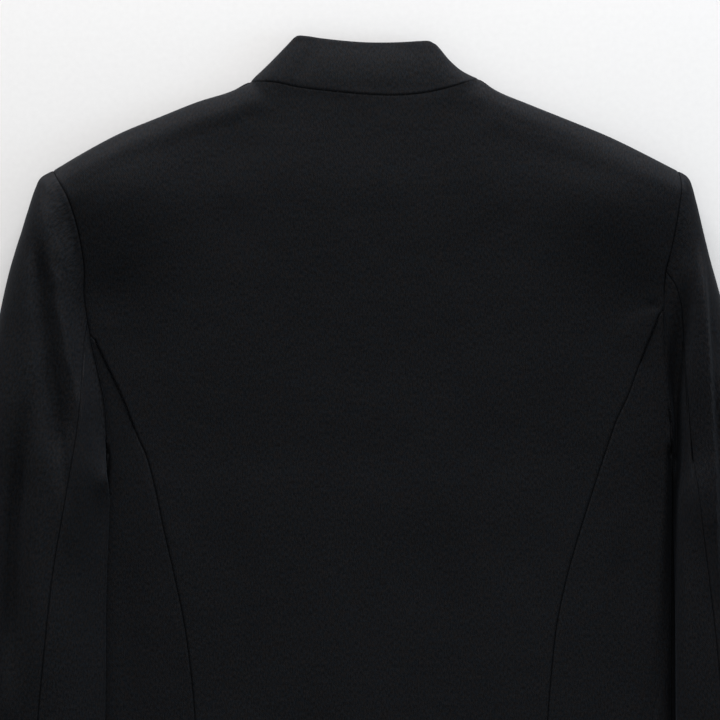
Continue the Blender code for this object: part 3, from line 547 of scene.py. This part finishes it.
# Creases, listed one by one: points from the top down, height, spread on the right and on the left of
# the line
creases = {
    "body": (
        (((-222, 262), (-206, 240), (-202, 214)), -0.5, 5, 8),
        (((214, 258), (210, 236), (205, 212)), -0.5, 8, 5),
        (((198, 182.5), (200, 178), (202.5, 174.5)), -1.0, 2.5, 3),
        (((-150, 268), (-165, 220), (-172, 170), (-160, 120)), -0.9, 26, 18),
        (((150, 262), (168, 216), (176, 168), (166, 112)), -0.9, 18, 26),
        (((-60, 318), (-72, 280), (-96, 236)), 0.5, 22, 22),
        (((62, 318), (78, 282), (104, 240)), 0.5, 22, 22),
        (((-100, 60), (-92, -40), (-96, -150)), -1.3, 16, 22),
        (((-30, 20), (-22, -80), (-26, -184)), 1.1, 22, 18),
        (((44, 40), (58, -60), (52, -170)), -1.0, 24, 18),
        (((104, 10), (98, -90), (102, -184)), 0.9, 16, 22),
        (((-176, 30), (-168, -40), (-170, -140)), -1.0, 12, 10),
        (((182, 40), (178, -30), (180, -130)), -1.0, 10, 12),
    ),
    "left": (
        (((-218, 214), (-215, 204), (-213, 196)), -1.0, 4, 4),
        (((-208, 246), (-214, 214), (-214, 176)), -0.8, 6, 8),
        (((-252, 196), (-259, 150), (-264, 96)), 0.9, 6, 9),
        (((-200, 150), (-208, 110), (-214, 72)), -1.0, 5, 7),
        (((-194, 96), (-198, 40), (-206, -20)), 1.2, 7, 9),
        (((-232, 246), (-226, 186), (-221, 137), (-215, 84), (-208, 30)), -4.2, 4.5, 6),
        (((-239, 118), (-243, 60), (-246, 20), (-249, -105)), -4.4, 6, 7),
        (((-228, 110), (-233, 40), (-237, -60)), 1.8, 8, 8),
        (((-262, -128), (-240, -146), (-206, -148)), -1.8, 8, 9),
        (((-258, -176), (-236, -196), (-204, -200)), -1.5, 8, 10),
        (((-252, -250), (-226, -262), (-196, -256)), -1.0, 9, 9),
        (((-224, -200), (-220, -280), (-212, -350)), 1.2, 10, 12),
    ),
    "right": (
        (((230, 240), (225, 182), (220, 140), (216.5, 90), (214.5, 20), (214, -120)), -11.0, 4, 8),
        (((232, 236), (233.8, 199), (236.6, 134), (240.4, 60), (243.6, -30)), 3.6, 1.4, 5),
        (((235.4, 230), (237.6, 194), (240.6, 132), (244.6, 60), (247.6, -30)), -6.0, 7, 1.8),
        (((248, 168), (255, 120), (262, 70)), -1.2, 8, 6),
        (((232, 60), (240, 10), (249, -40)), 1.3, 8, 8),
        (((274, -128), (254, -146), (224, -148)), -1.8, 8, 7),
        (((272, -170), (252, -190), (222, -192)), -1.5, 9, 8),
        (((262, -268), (240, -278), (212, -270)), -1.0, 9, 9),
        (((240, -210), (234, -290), (214, -352)), 1.2, 12, 10),
    ),
    "collar": (
        (((-40, 360), (-44, 346), (-50, 334)), -0.5, 5, 7),
        (((20, 362), (16, 346), (18, 330)), 0.35, 12, 12),
    ),
}
cloth = {
    "thickness": 1.2, "collarThickness": 2.2, "underside": 0.4, "seamGap": 0.12,
    # depth and reach of a border's dip
    "dips": {"s": (0.5, 0.9), "n": (0.1, 0.8), "f": (0.2, 1.2), "e": (0.5, 0.9)},
    "leastDip": 0.15, "seamShadeWidth": 0.55, "closedReach": 9.0, "plumbAbove": 0.25,
    "waveHeight": 0.45, "waveLength": 46.0, "rippleHeight": 0.14, "rippleLength": 13.0,
    "waveFromBorder": 6.0,
    "flatBelow": 3.0, "freeAbove": 10.0,  # creases die away towards the face that rests
    # how soon a crease comes in as the cloth faces up, or as a sleeve rises from its edge
    "facingGain": 4.0, "riseGain": 1.6,
    "creaseFade": 0.3, "creaseSteps": 24, "creaseFromArmhole": 5.0, "sharpAngle": 50.0,
    "endSteps": (0.03, 0.07, 0.12, 0.18, 0.26, 0.36, 0.5, 0.66, 0.83),
}

# First and last row, first and last column of a panel: sewn (s), sewn flat (n), sewn along a fold (f)
# or free (e); steps between its rows and columns, and its creases
panelMaking = {
    "back": ("enss", 9, 6, "body"),
    "side_back_left": ("esfs", 9, 4, "body"),
    "side_back_right": ("essf", 9, 4, "body"),
    "front_left": ("esef", 8, 6, None),
    "front_right": ("esfe", 8, 6, None),
    "collar": ("seee", 6, 6, "collar"),
    "top_sleeve_left": ("sess", 6, 5, "left"),
    "top_sleeve_right": ("sess", 6, 5, "right"),
    "under_sleeve_left": ("sess", 6, 6, "left"),
    "under_sleeve_right": ("sess", 6, 6, "right"),
}


def stations(count, perStep):  # closer together at both ends
    ends = np.array(cloth["endSteps"])
    middle = np.linspace(1, count - 2, (count - 3) * perStep + 1)
    return np.concatenate([[0], ends, middle, count - 1 - ends[::-1], [count - 1]])


def refined(points, axis, station):  # smooth lines through a grid's points, along one axis
    points = np.moveaxis(points, axis, 0)
    gap = np.maximum(np.linalg.norm(np.diff(points, axis=0), axis=-1, keepdims=True), 1e-3)
    slope = np.diff(points, axis=0) / gap
    tangent = np.concatenate([slope[:1], slope])
    tangent[1:-1] = (slope[:-1] * gap[1:] + slope[1:] * gap[:-1]) / (gap[1:] + gap[:-1])
    low = np.minimum(station.astype(int), len(points) - 2)
    t = (station - low)[:, None, None]
    fine = points[low] * (2 * t**3 - 3 * t**2 + 1) + points[low + 1] * (3 * t**2 - 2 * t**3)
    fine = fine + gap[low] * (tangent[low] * (t**3 - 2 * t**2 + t) + tangent[low + 1] * (t**3 - t**2))
    return np.moveaxis(fine, 0, axis)


def facing(points):
    return unit(np.cross(np.gradient(points, axis=1), np.gradient(points, axis=0)))


def creaseHeight(group, x, y):
    total = np.zeros_like(x)
    for path, height, rightSpread, leftSpread in creases[group]:
        far, side, along = nearest(x, y, curve(path, steps(cloth["creaseSteps"])))
        spread = np.where(side > 0, rightSpread, leftSpread)
        fade = smooth(along / cloth["creaseFade"]) * smooth((1 - along) / cloth["creaseFade"])
        total += height * fade * np.exp(-((far / spread) ** 2))
    return total


def waviness(points, seed):
    flat = points.reshape(-1, 3)
    offset = Vector((seed, 0, 0))
    tall, fine = cloth["waveLength"], cloth["rippleLength"]
    waves = [noise.noise(Vector(p) / tall + offset) * cloth["waveHeight"] for p in flat]
    ripples = [noise.noise(Vector(p) / fine + offset) * cloth["rippleHeight"] for p in flat]
    return (np.array(waves) + np.array(ripples)).reshape(points.shape[:2])


def lengthFrom(points, axis, fromEnd):  # distance of every point from a border, along the grid
    if fromEnd:
        points = np.flip(points, axis)
    run = np.cumsum(np.linalg.norm(np.diff(points, axis=axis), axis=-1), axis=axis)
    run = np.concatenate([np.zeros_like(run.take([0], axis)), run], axis)
    return np.flip(run, axis) if fromEnd else run


def finePoints(name, grid):
    _, rowSteps, columnSteps, _ = panelMaking[name]
    station = stations(grid.shape[0], rowSteps)
    points = refined(grid, 0, station)
    if name == "back":  # its sides turn a corner where the side-back seams end
        turn = len(bodyForm["levels"])
        below = station <= turn
        for column in (0, -1):
            points[below, column] = refined(grid[:turn + 1, [column]], 0, station[below])[:, 0]
            points[~below, column] = refined(grid[turn:, [column]], 0, station[~below] - turn)[:, 0]
    return refined(points, 1, stations(grid.shape[1], columnSteps))


def grainPlace(name, points):  # across and along the straight grain
    across = points[..., 0].copy()
    if "sleeve" in name:  # round the arm, the same all along it
        around = np.hypot(np.diff(across, axis=1), np.diff(points[..., 2], axis=1)).mean(axis=0)
        across[:] = np.concatenate([[0], np.cumsum(around)])
    return np.stack([across, points[..., 1]], -1)


def creaseLift(group, points, normal):
    x, y, z = points.transpose(2, 0, 1)
    if group in sides:  # by height, so that both sides of the hind-arm seam get the same
        _, edge, loft = heights("sleeve", group, x, y)
        upward = smooth(cloth["riseGain"] * (z - edge) / np.maximum(loft - edge, 1.0))
        fromSeam = distance(x, y, lines[group]["armhole"])
        upward = upward * smooth(fromSeam / cloth["creaseFromArmhole"])
    else:
        upward = smooth(normal[..., 2] * cloth["facingGain"])
    return creaseHeight(group, x, y) * upward


def dressed(name, grid):
    borders, _, _, group = panelMaking[name]
    points = finePoints(name, grid)
    normal, weave = facing(points), grainPlace(name, points)
    corners = [points[..., :2] - bodyForm["sideEdge"][side][0] for side in sides]
    toCorner = np.min([np.linalg.norm(corner, axis=-1) for corner in corners], axis=0)
    loose = 1 - np.exp(-((toCorner / cloth["closedReach"]) ** 2))  # seams stay closed at underarms
    away = [lengthFrom(points, axis, fromEnd) for axis in (0, 1) for fromEnd in (False, True)]
    free = smooth((points[..., 2] - cloth["flatBelow"]) / (cloth["freeAbove"] - cloth["flatBelow"]))
    seed = len(name) + ord(name[-1])
    move = waviness(points, seed) * free * smooth(np.min(away, axis=0) / cloth["waveFromBorder"])
    sunk, seam = np.zeros_like(move), np.zeros_like(move)
    for kind, far in zip(borders, away):
        depth, reach = cloth["dips"][kind]
        dip = depth * np.exp(-((far / reach) ** 2)) * np.maximum(free, cloth["leastDip"]) * loose
        if kind in "sn":
            sunk -= dip
            # mask for the painted shade along sewn borders
            seam += np.exp(-((far / cloth["seamShadeWidth"]) ** 2))
        else:
            move -= dip
    if group:
        points[..., 2] += creaseLift(group, points, normal) * free
    inward = normal
    if "sleeve" in name:  # both sides of a sleeve's seam sink the same way
        plumb = np.sign(normal[..., 2:]) * (0, 0, 1)
        inward = np.where(np.abs(normal[..., 2:]) > cloth["plumbAbove"], plumb, normal)
    points = points + normal * move[..., None] + inward * sunk[..., None]
    for axis, border, inside in ((0, 0, 1), (0, -1, -2), (1, 0, 1), (1, -1, -2)):
        line, beside = points.take(border, axis), points.take(inside, axis)
        line = line + unit(beside - line) * cloth["seamGap"] / 2 * loose.take(border, axis)[:, None]
        if axis == 0:
            points[border] = line
        else:
            points[:, border] = line
    points[..., 2] = np.maximum(points[..., 2], 0.0)
    return points, weave, np.minimum(seam, 1)


def quadCorners(grid):
    return grid[:-1, :-1], grid[:-1, 1:], grid[1:, 1:], grid[1:, :-1]


def wall(name, outer, weave, seam):
    thickness = cloth["collarThickness"] if name == "collar" else cloth["thickness"]
    inner = outer - thickness * facing(outer)
    inner[..., 2] = np.maximum(inner[..., 2], cloth["underside"])
    rows, columns = outer.shape[:2]
    count = rows * columns
    index = np.arange(count).reshape(rows, columns)
    quads = np.stack(quadCorners(index), -1).reshape(-1, 4)
    rim = np.concatenate([index[0, :-1], index[:-1, -1], index[-1, :0:-1], index[:0:-1, 0]])
    after = np.roll(rim, -1)
    rimQuads = np.stack((after, rim, rim + count, after + count), -1)
    faces = np.concatenate([quads, quads[:, ::-1] + count, rimQuads])
    points = np.concatenate([outer.reshape(-1, 3), inner.reshape(-1, 3)]) * mm
    mesh = bpy.data.meshes.new(name + "_cloth")
    mesh.from_pydata(points.tolist(), [], faces.tolist())
    weave = np.tile(weave.reshape(-1, 2) * mm, (2, 1))
    corners = np.empty(len(mesh.loops), int)
    mesh.loops.foreach_get("vertex_index", corners)
    mesh.uv_layers.new(name="weave").data.foreach_set("uv", weave[corners].ravel())
    seamShadeMask = mesh.attributes.new("seam", "FLOAT", "POINT")
    seamShadeMask.data.foreach_set("value", np.tile(seam.ravel(), 2))
    mesh.shade_smooth()
    mesh.set_sharp_from_angle(angle=np.radians(cloth["sharpAngle"]))
    piece = bpy.data.objects.new(name + "_cloth", mesh)
    bpy.context.scene.collection.objects.link(piece)
    return piece


# Suiting: black wool, fine twill with streaks along the grain

suitingLook = {
    "darkLight": ((0.0034, 0.0037, 0.0043), (0.0100, 0.0104, 0.0117)), "toneRange": (0.39, 0.61),
    "coolWarm": ((0.84, 1.00, 1.12), (1.13, 1.00, 0.92)), "hueRange": (0.38, 0.62),
    "seamPaintedShade": ((1.0, 1.0, 1.0), (0.25, 0.27, 0.29)),  # painted shade: little light gets into a seam
    "roughness": (0.62, 0.8), "fuzzRange": (0.35, 0.65), "specular": 0.04,
    "sheen": 0.014, "sheenRoughness": 0.34, "sheenTint": (0.62, 0.79, 1.0),
    "twillPitch": 0.0006, "streaks": (1200.0, 380.0), "clouds": 11.0, "nap": 1300.0, "fibres": 520.0,
    "bump": 0.35, "bumpDepth": 0.0004,
}
twillForm = {"Distortion": 1.2, "Detail": 1.0}
grainDetail = {"yarns": 3.0, "clouds": 2.0, "nap": 2.0, "fibres": 3.0}
grainMix = {  # what each output of the group is mixed from
    "Tone": {"yarns": 0.55, "clouds": 0.08, "nap": 0.37},
    "Hue": {"fibres": 1.0},
    "Fuzz": {"nap": 0.5, "clouds": 0.5},
    "Height": {"twill": 0.3, "yarns": 0.4, "nap": 0.3},
}


def link(tree, source, target):
    tree.links.new(source, target)


def noiseNode(tree, place, detail):
    node = tree.nodes.new("ShaderNodeTexNoise")
    node.inputs["Detail"].default_value = detail
    link(tree, place, node.inputs["Vector"])
    return node


def colourRamp(tree, value, colours, valueRange=(0.0, 1.0)):
    node = tree.nodes.new("ShaderNodeValToRGB")
    for end, position, colour in zip(node.color_ramp.elements, valueRange, colours):
        end.position, end.color = position, (*colour, 1.0)
    link(tree, value, node.inputs["Fac"])
    return node.outputs["Color"]


def grainGroup():
    tree = bpy.data.node_groups.new("wovenGrain", "ShaderNodeTree")
    for label in ("Twill Scale", "Streaks Across", "Streaks Along", "Clouds", "Nap", "Fibres"):
        tree.interface.new_socket(label, in_out="INPUT", socket_type="NodeSocketFloat")
    for label in grainMix:
        tree.interface.new_socket(label, in_out="OUTPUT", socket_type="NodeSocketFloat")
    nodes = tree.nodes
    given, result = nodes.new("NodeGroupInput"), nodes.new("NodeGroupOutput")
    weave = nodes.new("ShaderNodeUVMap")
    weave.uv_map = "weave"
    body = nodes.new("ShaderNodeTexCoord")

    twill = nodes.new("ShaderNodeTexWave")  # diagonal wales
    twill.bands_direction = "DIAGONAL"
    for label, value in twillForm.items():
        twill.inputs[label].default_value = value
    link(tree, weave.outputs["UV"], twill.inputs["Vector"])
    link(tree, given.outputs["Twill Scale"], twill.inputs["Scale"])

    stretch = nodes.new("ShaderNodeCombineXYZ")  # yarns of uneven thickness, long along the grain
    link(tree, given.outputs["Streaks Across"], stretch.inputs["X"])
    link(tree, given.outputs["Streaks Along"], stretch.inputs["Y"])
    yarnPlace = nodes.new("ShaderNodeVectorMath")
    yarnPlace.operation = "MULTIPLY"
    link(tree, weave.outputs["UV"], yarnPlace.inputs[0])
    link(tree, stretch.outputs["Vector"], yarnPlace.inputs[1])
    yarns = noiseNode(tree, yarnPlace.outputs["Vector"], grainDetail["yarns"])
    yarns.inputs["Scale"].default_value = 1.0

    sources = {"twill": twill, "yarns": yarns}
    for label in ("Clouds", "Nap", "Fibres"):  # slow change of tone, nap, and fibres of different hue
        source = noiseNode(tree, body.outputs["Object"], grainDetail[label.lower()])
        link(tree, given.outputs[label], source.inputs["Scale"])
        sources[label.lower()] = source

    for label, parts in grainMix.items():
        total = None
        for name, share in parts.items():
            scaled = nodes.new("ShaderNodeMath")
            scaled.operation = "MULTIPLY_ADD"
            scaled.inputs[1].default_value, scaled.inputs[2].default_value = share, 0.0
            link(tree, sources[name].outputs[0], scaled.inputs[0])
            if total:
                link(tree, total.outputs[0], scaled.inputs[2])
            total = scaled
        link(tree, total.outputs[0], result.inputs[label])
    return tree


def suitingMaterial():
    material = bpy.data.materials.new("suiting")
    material.use_nodes = True
    tree = material.node_tree
    nodes = tree.nodes
    shader = nodes["Principled BSDF"]
    shader.inputs["Metallic"].default_value = 0.0
    shader.inputs["Specular IOR Level"].default_value = suitingLook["specular"]
    shader.inputs["Sheen Weight"].default_value = suitingLook["sheen"]
    shader.inputs["Sheen Roughness"].default_value = suitingLook["sheenRoughness"]
    shader.inputs["Sheen Tint"].default_value = (*suitingLook["sheenTint"], 1.0)

    grain = nodes.new("ShaderNodeGroup")
    grain.node_tree = grainGroup()
    across, along = suitingLook["streaks"]
    grain.inputs["Twill Scale"].default_value = np.pi / 10 / suitingLook["twillPitch"]
    grain.inputs["Streaks Across"].default_value = across
    grain.inputs["Streaks Along"].default_value = along
    for label in ("Clouds", "Nap", "Fibres"):
        grain.inputs[label].default_value = suitingLook[label.lower()]

    seam = nodes.new("ShaderNodeAttribute")  # 1 in the seams, where shade is painted into the colour
    seam.attribute_name = "seam"
    look = suitingLook
    colour = colourRamp(tree, grain.outputs["Tone"], look["darkLight"], look["toneRange"])
    hue = colourRamp(tree, grain.outputs["Hue"], look["coolWarm"], look["hueRange"])
    # painted shade: the colour is darkened in the seams
    shade = colourRamp(tree, seam.outputs["Fac"], look["seamPaintedShade"])
    for layer in (hue, shade):
        product = nodes.new("ShaderNodeMix")
        product.data_type, product.blend_type = "RGBA", "MULTIPLY"
        product.inputs[0].default_value = 1.0
        link(tree, colour, product.inputs[6])
        link(tree, layer, product.inputs[7])
        colour = product.outputs[2]
    link(tree, colour, shader.inputs["Base Color"])

    rough = nodes.new("ShaderNodeMapRange")
    for label, ends in (("From", suitingLook["fuzzRange"]), ("To", suitingLook["roughness"])):
        rough.inputs[label + " Min"].default_value, rough.inputs[label + " Max"].default_value = ends
    link(tree, grain.outputs["Fuzz"], rough.inputs["Value"])
    link(tree, rough.outputs["Result"], shader.inputs["Roughness"])

    bump = nodes.new("ShaderNodeBump")
    bump.inputs["Strength"].default_value = suitingLook["bump"]
    bump.inputs["Distance"].default_value = suitingLook["bumpDepth"]
    link(tree, grain.outputs["Height"], bump.inputs["Height"])
    link(tree, bump.outputs["Normal"], shader.inputs["Normal"])
    return material


# Making

grids = {"back": backPanel(), "collar": collarBand()}
for side in sides:
    grids["side_back_" + side] = sideBackPanel(side)
    grids["front_" + side] = frontPanel(side)
    grids["top_sleeve_" + side], grids["under_sleeve_" + side] = sleevePanels(side)
for name in ("side_back_left", "front_right", "top_sleeve_right", "under_sleeve_right"):
    grids[name] = grids[name][:, ::-1]
print("panels worked out:", len(grids))

suiting = suitingMaterial()
for name, grid in grids.items():
    outer, weave, seam = dressed(name, grid)
    piece = wall(name, outer, weave, seam)
    piece.data.materials.append(suiting)
    width = lengthFrom(outer, 1, False)[:, -1].max() * mm
    length = lengthFrom(outer, 0, False)[-1].max() * mm
    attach(piece, "root")
    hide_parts(name)


# Stage, light and camera

stageLook = {
    "floor": (0.8, 0.8, 0.795), "mottle": (0.97, 1.03), "mottleScale": 260.0, "mottleDetail": 2.0,
    "floorRoughness": 0.9, "floorSpecular": 0.1, "floorSize": 8.0, "dome": 0.42,
    "aim": (-0.0056, 0.140, 0.025), "frameWidth": 0.504, "lens": 150.0, "sensor": 36.0,
}
lights = {  # the second skims over the shoulders, the third lights the right sides
    "key": {"power": 25.0, "place": (0.1, 2.1, 2.0), "size": (1.5, 1.5), "tint": (1.0, 1.0, 1.0)},
    "graze": {"power": 110.0, "place": (-0.1, 2.2, 0.32), "size": (2.2, 0.4), "tint": (1.0, 0.98, 0.99)},
    "window": {"power": 6.5, "place": (1.5, 0.1, 0.45), "size": (1.2, 0.5), "tint": (0.72, 0.86, 1.0)},
}


def floorMaterial():
    material = bpy.data.materials.new("paleFloor")
    material.use_nodes = True
    tree = material.node_tree
    shader = tree.nodes["Principled BSDF"]
    shader.inputs["Roughness"].default_value = stageLook["floorRoughness"]
    shader.inputs["Specular IOR Level"].default_value = stageLook["floorSpecular"]
    place = tree.nodes.new("ShaderNodeTexCoord")
    mottle = noiseNode(tree, place.outputs["Object"], stageLook["mottleDetail"])
    mottle.inputs["Scale"].default_value = stageLook["mottleScale"]
    tones = [[v * share for v in stageLook["floor"]] for share in stageLook["mottle"]]
    link(tree, colourRamp(tree, mottle.outputs[0], tones), shader.inputs["Base Color"])
    return material


half = stageLook["floorSize"] / 2
floorCorners = [(-half, -half, 0), (half, -half, 0), (half, half, 0), (-half, half, 0)]
floorMesh = bpy.data.meshes.new("floor")
floorMesh.from_pydata(floorCorners, [], [(0, 1, 2, 3)])
floorMesh.materials.append(floorMaterial())
floor = bpy.data.objects.new("floor", floorMesh)
bpy.context.scene.collection.objects.link(floor)

world = bpy.data.worlds.new("studio")
world.use_nodes = True
dome = world.node_tree.nodes["Background"]
dome.inputs["Color"].default_value = (1.0, 1.0, 1.0, 1.0)
dome.inputs["Strength"].default_value = stageLook["dome"]
bpy.context.scene.world = world

aim = Vector(stageLook["aim"])
for name, look in lights.items():
    light = bpy.data.lights.new(name, "AREA")
    light.energy, light.color = look["power"], look["tint"]
    light.shape = "RECTANGLE"
    light.size, light.size_y = look["size"]
    lamp = bpy.data.objects.new(name, light)
    lamp.location = look["place"]
    lamp.rotation_euler = (aim - lamp.location).to_track_quat("-Z", "Z").to_euler()
    bpy.context.scene.collection.objects.link(lamp)

lens = bpy.data.cameras.new("camera")
lens.lens, lens.sensor_width = stageLook["lens"], stageLook["sensor"]
camera = bpy.data.objects.new("camera", lens)
camera.location = aim + Vector((0, 0, stageLook["frameWidth"] * lens.lens / lens.sensor_width))
bpy.context.scene.collection.objects.link(camera)
bpy.context.scene.camera = camera
bpy.context.scene.view_settings.view_transform = "Standard"
print("stage, light and camera placed")
